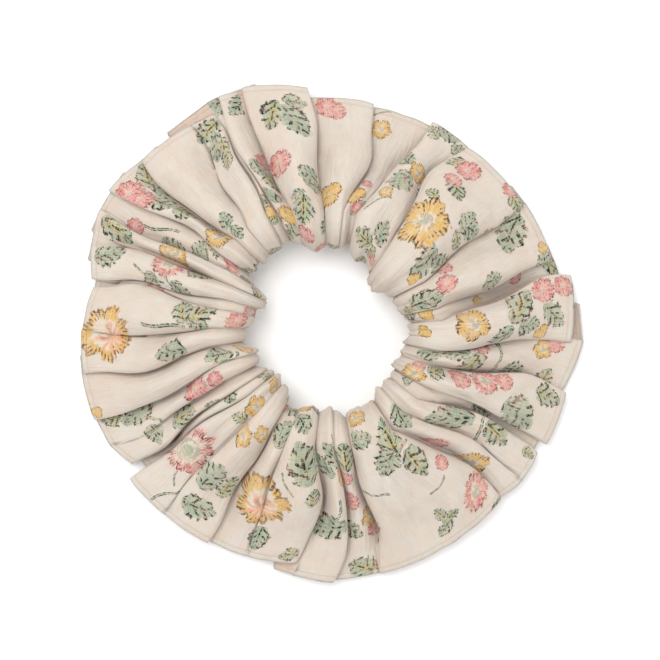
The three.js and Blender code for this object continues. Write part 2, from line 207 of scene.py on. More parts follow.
STEMS = [
    (178.6, 40.4, 355, 5.5), (225.7, 55.1, 205, 4.5), (223.7, 51.6, 80, 3), (35.6, 29.8, 110, 4),
    (32.2, 53.4, 110, 5), (76.7, 53, 0, 3), (207, 47, 180, 5), (300.4, 33.4, 40, 4),
    (328, 43.2, 250, 5), (351, 41.6, 280, 5), (71, 32.6, 30, 3.4), (272, 44, 80, 4),
    (163, 45.6, 150, 4), (110, 36, 120, 3), (284, 40, 10, 4), (255, 38.5, 100, 3.2),
    (15.5, 26, 30, 3), (120.6, 53.6, 110, 5), (148.6, 47.6, 330, 4.5), (305, 45, 60, 3),
]
SPARE_SPRAYS = 90  # flower sprays in places picked by a generator, where there is room
SPRAY_GAP = 9.0  # mm that they keep from every other flower or leaf
SPRAY_TRIES = 20  # places tried for each spray
SPRAY_FLOWER, SPRAY_LEAF, SPRAY_STEM = (2.4, 4.2), (2.4, 3.6), 4.0  # their sizes in mm
SPARE_LOOKS = [(5, 1.0, 0.34, 0.0), (9, 0.0, 0.25, 0.0), (13, 0.0, 0.4, 0.0), (3, 1.0, 0.12, 0.0)]
LEAF_STRETCH, STEM_STRETCH = 1.9, 3.0  # how much narrower a leaf or stem is than a flower
HEM_LINE = 1.3  # mm from the rim
LEAF_REACH = 1.06  # how far a leaf's wash spreads, as a multiple of its listed size


def smoothstep(low, high, x):
    t = np.clip((x - low) / (high - low), 0, 1)
    return t * t * (3 - 2 * t)


def distance_along(path):
    """How far each point of a path is from its first point, along the path."""
    return np.concatenate([[0], np.cumsum(np.linalg.norm(np.diff(path, axis=0), axis=1))])


def read_off(path, length, wanted):
    """The places on a path at the wanted distances along it."""
    return np.stack([np.interp(wanted, length, values) for values in path.T], 1)


def unit(vectors, tiny=0.0):
    return vectors / (np.linalg.norm(vectors, axis=1)[:, None] + tiny)


def spline(points, shares):
    """Points on a Catmull-Rom curve through points, at even shares of its length."""
    p = np.array(points, float)
    p = np.vstack([2 * p[0] - p[1], p, 2 * p[-1] - p[-2]])
    fine = []
    for i in range(1, len(p) - 2):
        t = np.linspace(0, 1, SPLINE_STEPS, endpoint=False)[:, None]
        a, b, c, d = p[i - 1:i + 3]
        fine.append(0.5 * (2 * b + (c - a) * t + (2 * a - 5 * b + 4 * c - d) * t ** 2
                           + (3 * b - a - 3 * c + d) * t ** 3))
    fine = np.vstack(fine + [p[-2:-1]])
    length = distance_along(fine)
    return read_off(fine, length, shares * length[-1]), length[-1]


def section_rows():
    """Radius and height, normal and distance along the cloth of each row, rim to rim;
    the share of the way at which the top ends; and each row's own share of the way."""
    points = TOP_SECTION + HOLE_SECTION + UNDER_SECTION
    fine, total = spline(points, np.linspace(0, 1, SECTION_STEPS + 1))
    at_top = np.argmin(np.linalg.norm(fine - TOP_SECTION[-1], axis=1)) / SECTION_STEPS
    at_under = np.argmin(np.linalg.norm(fine - UNDER_SECTION[0], axis=1)) / SECTION_STEPS
    shares = np.concatenate([
        [0],
        np.linspace(HEM_ROW / total, at_top, TOP_ROWS - 1, endpoint=False),
        np.linspace(at_top, at_under, HOLE_ROWS, endpoint=False),
        np.linspace(at_under, 1 - HEM_ROW / total, UNDER_ROWS - 1),
        [1],
    ])
    place, _ = spline(points, shares)
    ahead, _ = spline(points, np.clip(shares + SLOPE_REACH, 0, 1))
    behind, _ = spline(points, np.clip(shares - SLOPE_REACH, 0, 1))
    along = unit(ahead - behind)
    normal = np.stack([along[:, 1], -along[:, 0]], 1)
    return place, normal, shares * total, at_top, shares


PLACE, NORMAL, ACROSS, TOP_END, SHARES = section_rows()
HOLE_MIDDLE = np.argmin(PLACE[:, 0])
TURNED_IN = np.linspace(HEM_ROW, ALLOWANCE, ALLOWANCE_ROWS)  # the allowances' rows
CLOTH_ACROSS = np.concatenate([-TURNED_IN[::-1], ACROSS, ACROSS[-1] + TURNED_IN])

# How far in each row lies: 0 at the rim, 1 on top of the gathers, 2 back at the rim.
DEPTH_IN = np.where(
    SHARES <= TOP_END,
    SHARES / TOP_END,
    1 + (SHARES - TOP_END) / (1 - TOP_END),
)
FOLD_COUNT = len(FOLDS)
(RIM_ANGLE, MID_ANGLE, HOLE_ANGLE, SIDE, RIM_DEPTH, RIM_BEFORE, RIM_AFTER, GAPE,
 LEFT_AT_HOLE) = np.array(FOLDS).T
FLAP_LIFT = np.random.default_rng(FLAP_SEED).uniform(*FLAP_LIFT_RANGE, FOLD_COUNT)
SEAM_TURN = math.radians(RIM_ANGLE[0])  # the closing seam lies in the first fold


def profile(pairs):
    """A list of (depth in, value) pairs, read off at every row."""
    return np.interp(DEPTH_IN, *zip(*pairs))


def fold_angles():
    """Each fold's angle in each row, in radians, as an array of folds by rows."""
    t = np.clip(DEPTH_IN, 0, 1)
    rim, middle, hole = (angle[:, None] for angle in (RIM_ANGLE, MID_ANGLE, HOLE_ANGLE))
    top = rim * (1 - t) * (1 - 2 * t) + 4 * middle * t * (1 - t) + hole * t * (2 * t - 1)
    back = smoothstep(1.3, 2.0, DEPTH_IN)
    wander = np.sin(np.radians(5 * rim) + 5 * t + 1.0) + np.sin(np.radians(11 * rim) - 7 * t)
    return np.radians(top + (rim - hole) * back + FOLD_WANDER * wander * np.sin(np.pi * t))


def next_fold(angles):
    """The angles of each fold's neighbour, carried past a full turn after the last one."""
    following = np.roll(angles, -1, axis=0)
    following[-1] += 2 * np.pi
    return following


def fold_sizes(angles):
    """Depth, lean and turn radii of each fold in each row, in mm and radians."""
    t = DEPTH_IN
    rim_depth, side, gape, left = (v[:, None] for v in (RIM_DEPTH, SIDE, GAPE, LEFT_AT_HOLE))
    widths = (next_fold(angles) - angles) * PLACE[:, 0]
    widths_before = np.roll(widths, 1, axis=0)
    lost = widths[:, :1] - widths
    taken_up = FOLD_SHARE * (lost + np.roll(lost, 1, axis=0))
    covering = np.where(side > 0, widths_before, widths)
    most = np.minimum(profile(DEPTH_LIMIT), MOST_COVERED * covering)
    most = np.maximum(most, rim_depth * (1 - smoothstep(0, 0.5, t)))
    depth = np.clip(rim_depth + taken_up, 0, most)
    started = np.where(rim_depth > 0, 1, smoothstep(0.12, 0.75, t))
    kept = started * (1 + (left - 1) * smoothstep(0.55, 1.05, t))
    lean = np.pi / 2 + side * np.radians(profile(UPRIGHT_TURN))
    half_way = smoothstep(0.05, 0.45, t) * (1 - smoothstep(0.55, 0.95, t))
    shoulder = profile(SHOULDER_RADIUS)
    crease = profile(CREASE_RADIUS) + gape * half_way
    room = np.minimum(widths, widths_before)
    wanted = (2 * shoulder + 2 * crease) * np.sin(lean) + 0.2
    fit = np.clip(0.9 * room / wanted, 0.05, 1) * kept
    return depth * kept, lean, shoulder * fit, crease * fit


def fold_shape(depth, lean, shoulder, crease):
    """Places along and above the row, for one fold: down round one shoulder, along a
    leg to the crease, round it, back up the other leg and round the other shoulder."""
    def stations(steps):
        return np.linspace(0, 1, steps + 1)[1:, None]

    first, leg, turn, last = FOLD_STEPS
    down = stations(leg)[..., None] * depth[:, None] * np.stack([np.cos(lean), -np.sin(lean)], -1)
    points = [np.zeros((1, len(lean), 2))]
    angle = stations(first) * lean
    points.append(np.stack([shoulder * np.sin(angle), shoulder * (np.cos(angle) - 1)], -1))
    points.append(points[-1][-1:] + down)
    angle = -lean + np.pi * stations(turn)
    points.append(points[-1][-1:] + np.stack([
        crease * (np.sin(angle) + np.sin(lean)),
        crease * (np.cos(lean) - np.cos(angle)),
    ], -1))
    points.append(points[-1][-1:] - down)
    rest = np.pi - lean
    angle = rest * (1 - stations(last))
    points.append(points[-1][-1:] + np.stack([
        shoulder * (np.sin(rest) - np.sin(angle)),
        shoulder * (np.cos(angle) - np.cos(rest)),
    ], -1))
    return np.vstack(points)


def fold_columns(k, middle, shape):
    """Fold k's columns: places along each row in radians, heights and rim radii in mm."""
    end = shape[-1]
    turn = middle + (shape[:, :, 0] - end[:, 0] / 2) / PLACE[:, 0]
    height = shape[:, :, 1] - end[:, 1] / 2
    share = smoothstep(0.2, 0.8, np.linspace(0, 1, len(shape)))
    return turn, height, RIM_BEFORE[k] + (RIM_AFTER[k] - RIM_BEFORE[k]) * share


def flap_columns(k, u, start, end):
    """The columns of the flap after fold k, at shares u of the way from start to end,
    which are each a place along each row in radians and a height in mm."""
    turn = start[0] + (end[0] - start[0]) * u
    run = (end[0] - start[0]) * PLACE[:, 0]
    crown = np.clip(profile(CROWN_SHARE) * run, 0, profile(CROWN_LIMIT))
    lift = FLAP_LIFT[k] * smoothstep(0.1, 0.5, DEPTH_IN) * (1 - smoothstep(0.8, 1.15, DEPTH_IN))
    height = lift * np.sin(np.pi * u) + start[1] + (end[1] - start[1]) * smoothstep(0, 1, u)
    height = height + crown * (1 - (2 * u - 1) ** 2) ** CROWN_ROUNDNESS
    next_rim = RIM_BEFORE[(k + 1) % FOLD_COUNT]
    return turn, height, RIM_AFTER[k] + (next_rim - RIM_AFTER[k]) * u[:, 0]


def lay_out_rows():
    """The cloth's columns: place along each row in radians, height over the section
    in mm, the rim's radius there, which flap or fold each column belongs to, and its
    place along the cloth in mm; and the cloth's length."""
    angles = fold_angles()
    following = next_fold(angles)
    sizes = fold_sizes(angles)
    shapes = [fold_shape(*(size[k] for size in sizes)) for k in range(FOLD_COUNT)]
    turn, height, rim, owner, flap_cloth, flap_ends = [], [], [], [], [], []
    along = 0.0
    for k in range(FOLD_COUNT):
        columns = fold_columns(k, angles[k], shapes[k])
        after = shapes[(k + 1) % FOLD_COUNT][-1]
        start = (columns[0][-1], columns[1][-1])
        end = (following[k] - after[:, 0] / 2 / PLACE[:, 0], -after[:, 1] / 2)
        width = (following[k] - angles[k])[0] * PLACE[0, 0]
        steps = max(2, round(width / FLAP_STEP))
        u = np.linspace(0, 1, steps + 1)[1:-1, None]
        for values, fold, flap in zip((turn, height, rim), columns, flap_columns(k, u, start, end)):
            values += [fold, flap]
        owner += [np.full(len(shapes[k]), -1 - k), np.full(steps - 1, k)]
        run = (end[0] - start[0]) * PLACE[:, 0]
        fold_length = np.linalg.norm(np.diff(shapes[k][:, 0], axis=0), axis=1).sum()
        along += run[0] / 2 + fold_length
        flap_cloth.append(along + run * (u - 0.5))
        flap_ends.append((along - run / 2, along + run / 2))
        along += run[0] / 2
    cloth = []
    for k in range(FOLD_COUNT):
        share = np.linspace(0, 1, len(shapes[k]))[:, None]
        before = flap_ends[k - 1][1] - (along if k == 0 else 0)
        cloth += [before + (flap_ends[k][0] - before) * share, flap_cloth[k]]
    # The first column is moved to the crease of the first fold, where the tube's ends meet.
    crease_column = len(shapes[0]) // 2
    cloth = np.vstack(cloth)
    cloth[:crease_column] += along
    turn = np.vstack(turn)
    turn[:crease_column] += 2 * np.pi
    columns = (turn, np.vstack(height), np.concatenate(rim), np.concatenate(owner), cloth)
    return [np.roll(values, -crease_column, axis=0) for values in columns], along


def waves(rng, count, low, high, turn, along, slant):
    """Smooth noise round the ring: waves of low to high turns, fixed by the generator."""
    total = np.zeros_like(turn)
    for _ in range(count):
        cycles = rng.integers(low, high)
        total += np.sin(cycles * turn + rng.uniform(0, 2 * np.pi)
                        + rng.uniform(-slant, slant) * along)
    return total / math.sqrt(count)


def creases(rng, count, low, high, turn, along, slant):
    """Sharp valleys between rounded ridges, from about -1 to 0, round the ring."""
    total = np.zeros_like(turn)
    for _ in range(count):
        cycles = rng.integers(low, high)
        phase = cycles * turn / 2 + rng.uniform(0, np.pi) + rng.uniform(-slant, slant) * along
        strength = 0.5 + 0.5 * np.sin(rng.integers(2, 7) * turn + rng.uniform(0, 2 * np.pi))
        total -= strength * (1 - np.abs(np.sin(phase))) ** 2
    return total / math.sqrt(count)


def crumple(rng, turn, t, along):
    """The height in mm that waves, slanting creases and gathers add to the cloth."""
    soft = waves(rng, 6, 9, 26, turn, along, 0.12)
    small = waves(rng, 8, 30, 80, turn, along, 0.25)
    gathers = creases(rng, 5, 40, 100, turn, along, 0.06)
    slants = creases(rng, 7, 14, 40, turn, along, 0.25)
    over_hole = smoothstep(0.45, 0.9, t) * (1 - 0.6 * smoothstep(1.0, 1.3, t))
    over_flaps = smoothstep(0.03, 0.35, t) * (1 - smoothstep(0.8, 1.2, t))
    calm = 1 - 0.6 * smoothstep(0.9, 1.2, t)
    degrees = np.degrees(turn) % 360
    tight = sum(np.exp(-((degrees - angle) / reach) ** 2) for angle, reach in TIGHT_GATHERS)
    lift = SOFT_WAVES * soft * calm * smoothstep(0, 0.3, t) + SMALL_WAVES * small
    lift = lift + (GATHERS + TIGHTER_GATHERS * tight) * gathers * over_hole
    lift = lift + SLANT_CREASES * slants * over_flaps
    return lift * (1 - smoothstep(1.7, 2.0, t))


def hole_radius(turn):
    """The radius of the hole's outline in mm, averaged over a few degrees."""
    degrees = np.degrees(turn) % 360
    angles, radii = np.array(HOLE_OUTLINE).T
    angles = np.append(angles, angles[0] + 360)
    radii = np.append(radii, radii[0])
    nearby = [np.interp((degrees + step) % 360, angles, radii) for step in (-3, 0, 3)]
    return np.mean(nearby, axis=0)


def clear_of_elastic(radius, z, t):
    """Radius and height, moved so that the cloth lies over, beside and under the elastic."""
    inner, outer, low, high = BAND_ROOM
    in_band = (radius > inner) & (radius < outer) & (z > low) & (z < high)
    z = np.where(in_band & (t < 1.05), high, z)
    z = np.where(in_band & (t > 1.35), low, z)
    return np.where(in_band & (t >= 1.05) & (t <= 1.35), inner, radius), z


def turn_in_edges(turn, radius, z, cloth, owner):
    """The same arrays with the rows of the two seam allowances, turned in at the rim.
    They are trimmed in the folds, where they would show underneath."""
    def add_rows(values, shift):
        return np.hstack([values[:, :1] + shift[:, ::-1], values, values[:, -1:] + shift])

    level = np.zeros((1, ALLOWANCE_ROWS))
    inward = TURNED_IN * (1 - TRIMMED_OFF * pockets(owner))[:, None]
    drop = ALLOWANCE_DROP * TURNED_IN[None, :] / ALLOWANCE
    z = np.hstack([z[:, :1] + drop[:, ::-1], z, z[:, -1:] - drop])
    return add_rows(turn, level), add_rows(radius, -inward), z, add_rows(cloth, level)


def cover_points():
    """The cloth's points in mm as columns by rows, each one's place along the cloth in
    mm, the flap or fold that each column belongs to, and the cloth's length."""
    (turn, height, rim, owner, cloth), cloth_length = lay_out_rows()
    rng = np.random.default_rng(CLOTH_SEED)
    t = np.broadcast_to(DEPTH_IN, turn.shape)
    along = np.broadcast_to(ACROSS, turn.shape)
    height = height + crumple(rng, turn, t, along)
    near_rim = np.maximum(1 - smoothstep(0, 0.9, t), smoothstep(1.6, 2.0, t))
    near_hole = smoothstep(0.35, 1.15, t) * (1 - smoothstep(1.3, 1.9, t))
    hole = hole_radius(turn) - PLACE[HOLE_MIDDLE, 0]
    radius = PLACE[:, 0] + (rim[:, None] - PLACE[0, 0]) * near_rim + hole * near_hole
    radius = radius + NORMAL[:, 0] * height
    z = PLACE[:, 1] + NORMAL[:, 1] * height
    z = z + RIM_WAVES * near_rim * waves(rng, 4, 3, 9, turn, along, 0.0)
    # Underneath, the last rows turn into the rim's own line, which they share with the top.
    home = smoothstep(1.6, 2.0, t)
    turn, z, radius = (v + (v[:, :1] - v) * home for v in (turn, z, radius))
    radius, z = clear_of_elastic(radius, z, t)
    turn, radius, z, cloth = turn_in_edges(turn, radius, z, cloth, owner)
    points = np.stack([radius * np.cos(turn), radius * np.sin(turn), np.maximum(z, LOWEST)], -1)
    return points, cloth, owner, cloth_length


def pockets(owner):
    """1 at the bottom of each fold and 0 out on the flaps, for each column."""
    inside = np.zeros(len(owner))
    for k in range(FOLD_COUNT):
        columns = np.flatnonzero(owner == -1 - k)
        if columns[-1] - columns[0] > len(columns):  # the first fold goes past the start
            columns = np.roll(columns, -np.argmax(np.diff(columns)) - 1)
        inside[columns] = np.sin(np.linspace(0, np.pi, len(columns)))
    for _ in range(POCKET_BLUR):
        inside = (np.roll(inside, 1) + inside + np.roll(inside, -1)) / 3
    return inside


def face_corners(values, after):
    """The four corners' values of each face, from those of a column and of the next one."""
    return np.stack([values[:, :-1], after[:, :-1], after[:, 1:], values[:, 1:]], -1).reshape(-1, 4)


def grid_mesh(name, points):
    """A mesh from columns by rows of points, joined all the way round the ring."""
    columns, rows = points.shape[:2]
    index = np.arange(columns * rows).reshape(columns, rows)
    faces = face_corners(index, np.roll(index, -1, axis=0))
    mesh = bpy.data.meshes.new(name)
    mesh.from_pydata(points.reshape(-1, 3).tolist(), [], faces.tolist())
    mesh.shade_smooth()
    return mesh


def add_object(name, data):
    piece = bpy.data.objects.new(name, data)
    bpy.context.scene.collection.objects.link(piece)
    return piece


# ---------- the print's places
def on_cloth(points, owner, cloth, place):
    """A place on the cloth in mm, with the direction and size, from a place seen from
    above. It is the closest one that lies on top of a flap."""
    angle, radius, pointing, size = place
    x = radius * math.cos(math.radians(angle))
    y = radius * math.sin(math.radians(angle))
    away = np.hypot(points[:, :, 0] - x, points[:, :, 1] - y)
    away[owner < 0] = np.inf
    away[:, :ALLOWANCE_ROWS] = np.inf
    away[:, ALLOWANCE_ROWS + HOLE_MIDDLE:] = np.inf
    column, row = np.unravel_index(np.argmin(away), away.shape)
    turned = math.radians(pointing - angle - 90)
    return [cloth[column, row], CLOTH_ACROSS[row], turned, size]


def spare_sprays(rng, taken, cloth_length, width):
    """Flower sprays for the cloth that no listed place covers."""
    flowers, leaves, stems = [], [], []
    for _ in range(SPARE_SPRAYS * SPRAY_TRIES):
        spot = rng.uniform((0, 0), (cloth_length, width))
        if np.hypot(*(np.array(taken) - spot).T).min() < SPRAY_GAP:
            continue
        facing = rng.uniform(0, 2 * np.pi)
        size = rng.uniform(*SPRAY_FLOWER)
        look = SPARE_LOOKS[rng.integers(len(SPARE_LOOKS))]
        flowers.append([*spot, facing, size, *look])
        taken.append(spot)
        back = facing + np.pi
        for side in (-1, 1, 0.2):
            reach = size + rng.uniform(2.4, 3.4)
            way = back + side * rng.uniform(0.9, 1.5)
            middle = spot + reach * np.array([math.cos(way), math.sin(way)])
            leaves.append([*middle, way + rng.uniform(-0.4, 0.4), rng.uniform(*SPRAY_LEAF)])
            taken.append(middle)
        middle = spot + (size + 3) * np.array([math.cos(back), math.sin(back)])
        stems.append([*middle, back, SPRAY_STEM])
        if len(flowers) == SPARE_SPRAYS:
            break
    return flowers, leaves, stems


def print_places(points, owner, cloth, cloth_length):
    """Every flower, leaf and stem: cloth place in mm, direction, size and look."""
    def placed(places, look=()):
        return [on_cloth(points, owner, cloth, place) + list(look) for place in places]

    flowers = []
    for *look, places in FLOWERS.values():
        flowers += placed(places, look)
    leaves, stems = placed(LEAVES), placed(STEMS)
    taken = [np.array(motif[:2]) for motif in flowers + leaves]
    more = spare_sprays(np.random.default_rng(PRINT_SEED), taken, cloth_length, ACROSS[-1])
    return [np.array(hand + spare) for hand, spare in zip((flowers, leaves, stems), more)]


def in_frame(places, middle, turned):
    """Cloth places in a motif's own frame: ahead, the way that its tip points, and aside."""
    s, w = places[..., 0] - middle[0], places[..., 1] - middle[1]
    return (s * np.cos(turned) + w * np.sin(turned), w * np.cos(turned) - s * np.sin(turned))


def local_places(motifs, corners, stretch):
    """For every corner of every face, its place in the frame of the face's own motif,
    which is the closest one, with places across the motif counted stretch times."""
    centre = corners.mean(axis=1)
    best = np.full(len(centre), np.inf)
    chosen = np.zeros(len(centre), int)
    for number, (s, w, turned, size) in enumerate(motifs[:, :4]):
        ahead, aside = in_frame(centre, (s, w), turned)
        away = np.hypot(ahead, stretch * aside) / size
        nearer = away < best
        best[nearer] = away[nearer]
        chosen[nearer] = number
    s, w, turned, size = (motifs[chosen, k][:, None] for k in range(4))
    ahead, aside = in_frame(corners, (s, w), turned)
    return ahead / size, aside / size, chosen


def store(mesh, name, *columns):
    """Up to three numbers for each corner of each face, under one name."""
    values = [np.broadcast_to(column, (len(mesh.polygons), 4)).ravel() for column in columns]
    values += [np.zeros_like(values[0])] * (3 - len(values))
    layer = mesh.attributes.new(name, "FLOAT_VECTOR", "CORNER")
    layer.data.foreach_set("vector", np.stack(values, -1).astype(np.float32).ravel())


def store_print(mesh, points, owner, cloth, cloth_length):
    """What the printed cotton's shader reads: the cloth's own place, the painted warm shade in its
    folds and the print's motifs.
    """
    flowers, leaves, stems = print_places(points, owner, cloth, cloth_length)
    after = np.roll(cloth, -1, axis=0)
    after[-1] += cloth_length
    across = np.broadcast_to(CLOTH_ACROSS, cloth.shape)
    s = face_corners(cloth, after)
    w = face_corners(across, across)
    corners = np.stack([s, w], -1)
    # The third number stored with the cloth's place is the share of painted warm shade at the bottom
    # of each fold, on the top and down the side of the hole.
    depth = pockets(owner)
    within = np.stack([depth, np.roll(depth, -1), np.roll(depth, -1), depth], -1)
    within = np.repeat(within, points.shape[1] - 1, axis=0) * (w < ACROSS[HOLE_MIDDLE])
    store(mesh, "cloth", s, w, within)
    ahead, aside, chosen = local_places(flowers, corners, 1.0)
    petals, yellow, inner, streaks = (flowers[chosen, k][:, None] for k in range(4, 8))
    store(mesh, "flower", ahead, aside, petals)
    store(mesh, "flower_look", yellow, inner, streaks)
    for name, motifs, stretch, step in (
        ("leaf", leaves, LEAF_STRETCH, 0.37),
        ("stem", stems, STEM_STRETCH, 0.61),
    ):
        ahead, aside, chosen = local_places(motifs, corners, stretch)
        store(mesh, name, ahead, aside, (chosen * step % 1)[:, None])


# ---------- shader arithmetic
class Value:
    """A number in a shader. Arithmetic on it adds math nodes to the material."""

    def __init__(self, tree, socket):
        self.tree = tree
        self.socket = socket

    def math(self, operation, *others):
        node = self.tree.nodes.new("ShaderNodeMath")
        node.operation = operation
        for socket, value in zip(node.inputs, (self, *others)):
            connect(value, socket)
        return Value(self.tree, node.outputs[0])

    def operator(operation, *before):
        return lambda self, *other: self.math(operation, *before, *other)

    __add__ = __radd__ = operator("ADD")
    __sub__ = operator("SUBTRACT")
    __rsub__ = operator("MULTIPLY_ADD", -1.0)
    __mul__ = __rmul__ = operator("MULTIPLY")
    __truediv__ = operator("DIVIDE")
    __pow__ = operator("POWER")
    __abs__ = operator("ABSOLUTE")
    sin = operator("SINE")
    cos = operator("COSINE")

    def rise(self, low, high):
        """0 up to low and 1 from high on, smoothly; low may be the larger one."""
        node = self.tree.nodes.new("ShaderNodeMapRange")
        node.interpolation_type = "SMOOTHSTEP"
        connect(self, node.inputs["Value"])
        connect(low, node.inputs["From Min"])
        connect(high, node.inputs["From Max"])
        return Value(self.tree, node.outputs["Result"])


def connect(value, socket):
    if isinstance(value, Value):
        value.tree.links.new(value.socket, socket)
    else:
        socket.default_value = value


def three_numbers(tree, vector):
    parts = tree.nodes.new("ShaderNodeSeparateXYZ")
    tree.links.new(vector, parts.inputs[0])
    return [Value(tree, output) for output in parts.outputs]


def attribute(tree, name):
    """The three numbers stored under a name."""
    node = tree.nodes.new("ShaderNodeAttribute")
    node.attribute_name = name
    return three_numbers(tree, node.outputs["Vector"])


def noise(x, y, z, scale, detail=2.0):
    """Smooth noise from about 0 to 1."""
    tree = x.tree
    place = tree.nodes.new("ShaderNodeCombineXYZ")
    for socket, value in zip(place.inputs, (x, y, z)):
        connect(value, socket)
    node = tree.nodes.new("ShaderNodeTexNoise")
    node.inputs["Scale"].default_value = scale
    node.inputs["Detail"].default_value = detail
    tree.links.new(place.outputs[0], node.inputs["Vector"])
    return Value(tree, node.outputs[0])


def colour_of(red, green, blue):
    """A linear colour from screen values of 0 to 255."""
    return tuple((value / 255) ** 2.2 for value in (red, green, blue)) + (1.0,)


def paint(under, share, over):
    """Colour over laid on colour under, by share."""
    node = share.tree.nodes.new("ShaderNodeMix")
    node.data_type = "RGBA"
    connect(share, node.inputs["Factor"])
    for socket, colour in ((node.inputs[6], under), (node.inputs[7], over)):
        if isinstance(colour, tuple):
            socket.default_value = colour
        else:
            share.tree.links.new(colour, socket)
    return node.outputs[2]


# ---------- the printed cotton
CREAM = colour_of(198, 190, 181)
BLUSH = colour_of(194, 181, 170)
# Painted warm shade for the bottom of the folds.
PAINTED_FOLD_SHADE = colour_of(187, 154, 134)
SLUB = colour_of(205, 180, 158)
YARN_GAP = colour_of(190, 165, 140)
HEM_SHADE = colour_of(170, 140, 118)
SAGE = colour_of(150, 164, 140)
TEAL = colour_of(128, 147, 130)
LIME = colour_of(156, 152, 94)
DEEP_GREEN = colour_of(104, 128, 110)
RED = colour_of(186, 78, 84)
INK = colour_of(26, 24, 14)
BROWN_INK = colour_of(52, 34, 16)
MUSTARD = colour_of(196, 148, 66)
LEMON = colour_of(202, 168, 94)
ROSE = colour_of(204, 118, 118)
SHELL = colour_of(208, 162, 156)
SALMON = colour_of(212, 134, 98)
PALE = colour_of(202, 190, 174)
CENTRE_GREEN = colour_of(140, 155, 136)
THREAD_LIGHT = colour_of(222, 208, 188)
# Painted shade for the groove between the sewing thread's plies.
THREAD_GROOVE_SHADE = colour_of(178, 158, 134)
ELASTIC_LIGHT = colour_of(232, 228, 218)
# Painted shade for the grooves of the braided elastic.
ELASTIC_GROOVE_SHADE = colour_of(150, 142, 128)
YARN_TURNS = 18.0  # radians of the weave's wave per mm
COTTON_FINISH = {
    "Specular IOR Level": 0.25,
    "Sheen Weight": 0.1,
    "Sheen Roughness": 0.5,
    "Subsurface Weight": 0.25,
    "Subsurface Radius": (1.0, 0.5, 0.32),
    "Subsurface Scale": 0.0012,
}


def paint_stems(colour, cover):
    x, y, seed = attribute(cover.tree, "stem")
    off = abs(y - (x * 2.4 + seed * 6).sin() * 0.13)
    ends = abs(x).rise(1.0, 0.94)
    colour = paint(colour, off.rise(0.09, 0.04) * ends * cover, SAGE)
    broken = noise(x, seed, y, 7.0).rise(0.42, 0.5)
    return paint(colour, abs(off - 0.05).rise(0.035, 0.02) * ends * broken, INK)


def paint_leaves(colour, cover):
    """Soft washes of green, with broken pen strokes along the veins and the edge."""
    x, y, seed = attribute(cover.tree, "leaf")
    x = x / LEAF_REACH
    y = y / LEAF_REACH
    ends = abs(x).rise(1.0, 0.97)
    wobble = noise(x, y, seed * 9.0, 2.6)
    belly = (1.0 - (x * x).math("MINIMUM", 1.0)) ** 0.72 * (0.54 - x * 0.12)
    lobes = abs((x * 8.0 + seed * 5 + wobble * 2).sin()) * 0.1
    width = belly + lobes * belly * 2 + (wobble - 0.5) * 0.2
    aside = abs(y)
    inside = (aside - width).rise(0.07, -0.1) * ends * cover
    tone = (wobble * 1.3 + seed * 0.4 + y.rise(-0.15, 0.15) * 0.35).rise(0.5, 1.2)
    green = paint(TEAL, tone, SAGE)
    green = paint(green, (aside - wobble * 0.4).rise(0.1, -0.05) * tone * 0.5, DEEP_GREEN)
    glow = (aside - (0.34 - x * 0.2) * wobble).rise(0.06, -0.04) * abs(x + 0.1).rise(0.7, 0.45)
    green = paint(green, glow * seed.rise(0.5, 0.6) * 0.85, LIME)
    bleed = (aside - width - 0.05).rise(0.22, 0.0) * ends * wobble.rise(0.42, 0.6)
    colour = paint(colour, bleed * 0.4, SAGE)
    colour = paint(colour, inside, green)
    share = aside / (width + 0.001)
    slant = (x - (aside ** 0.7) * (wobble * 1.4 + 0.1)) * 13.0
    veins = (slant + y.rise(-0.02, 0.02) * 2.4 + seed * 8 + wobble * 6).sin().rise(0.3, 0.55)
    where = (share + wobble * 0.9).rise(0.55, 0.7) * (share + wobble * 0.5).rise(1.5, 1.36)
    picked = noise(x, y, seed * 5.0 + 3.0, 3.6).rise(0.44, 0.49)
    dashes = veins * where * picked * abs(x).rise(1.04, 1.0)
    rib = abs(y - (wobble - 0.5) * 0.15).rise(0.075, 0.035) * abs(x).rise(0.9, 0.85)
    rib = rib * noise(x, seed, 0.5, 3.0).rise(0.42, 0.48)
    edge = abs(share - 0.8 - wobble * 0.4).rise(0.17, 0.08)
    outline = edge * noise(x, y, seed * 7.0, 3.4).rise(0.49, 0.53) * ends
    ink = dashes.math("MAXIMUM", rib).math("MAXIMUM", outline)
    return paint(colour, ink, INK)


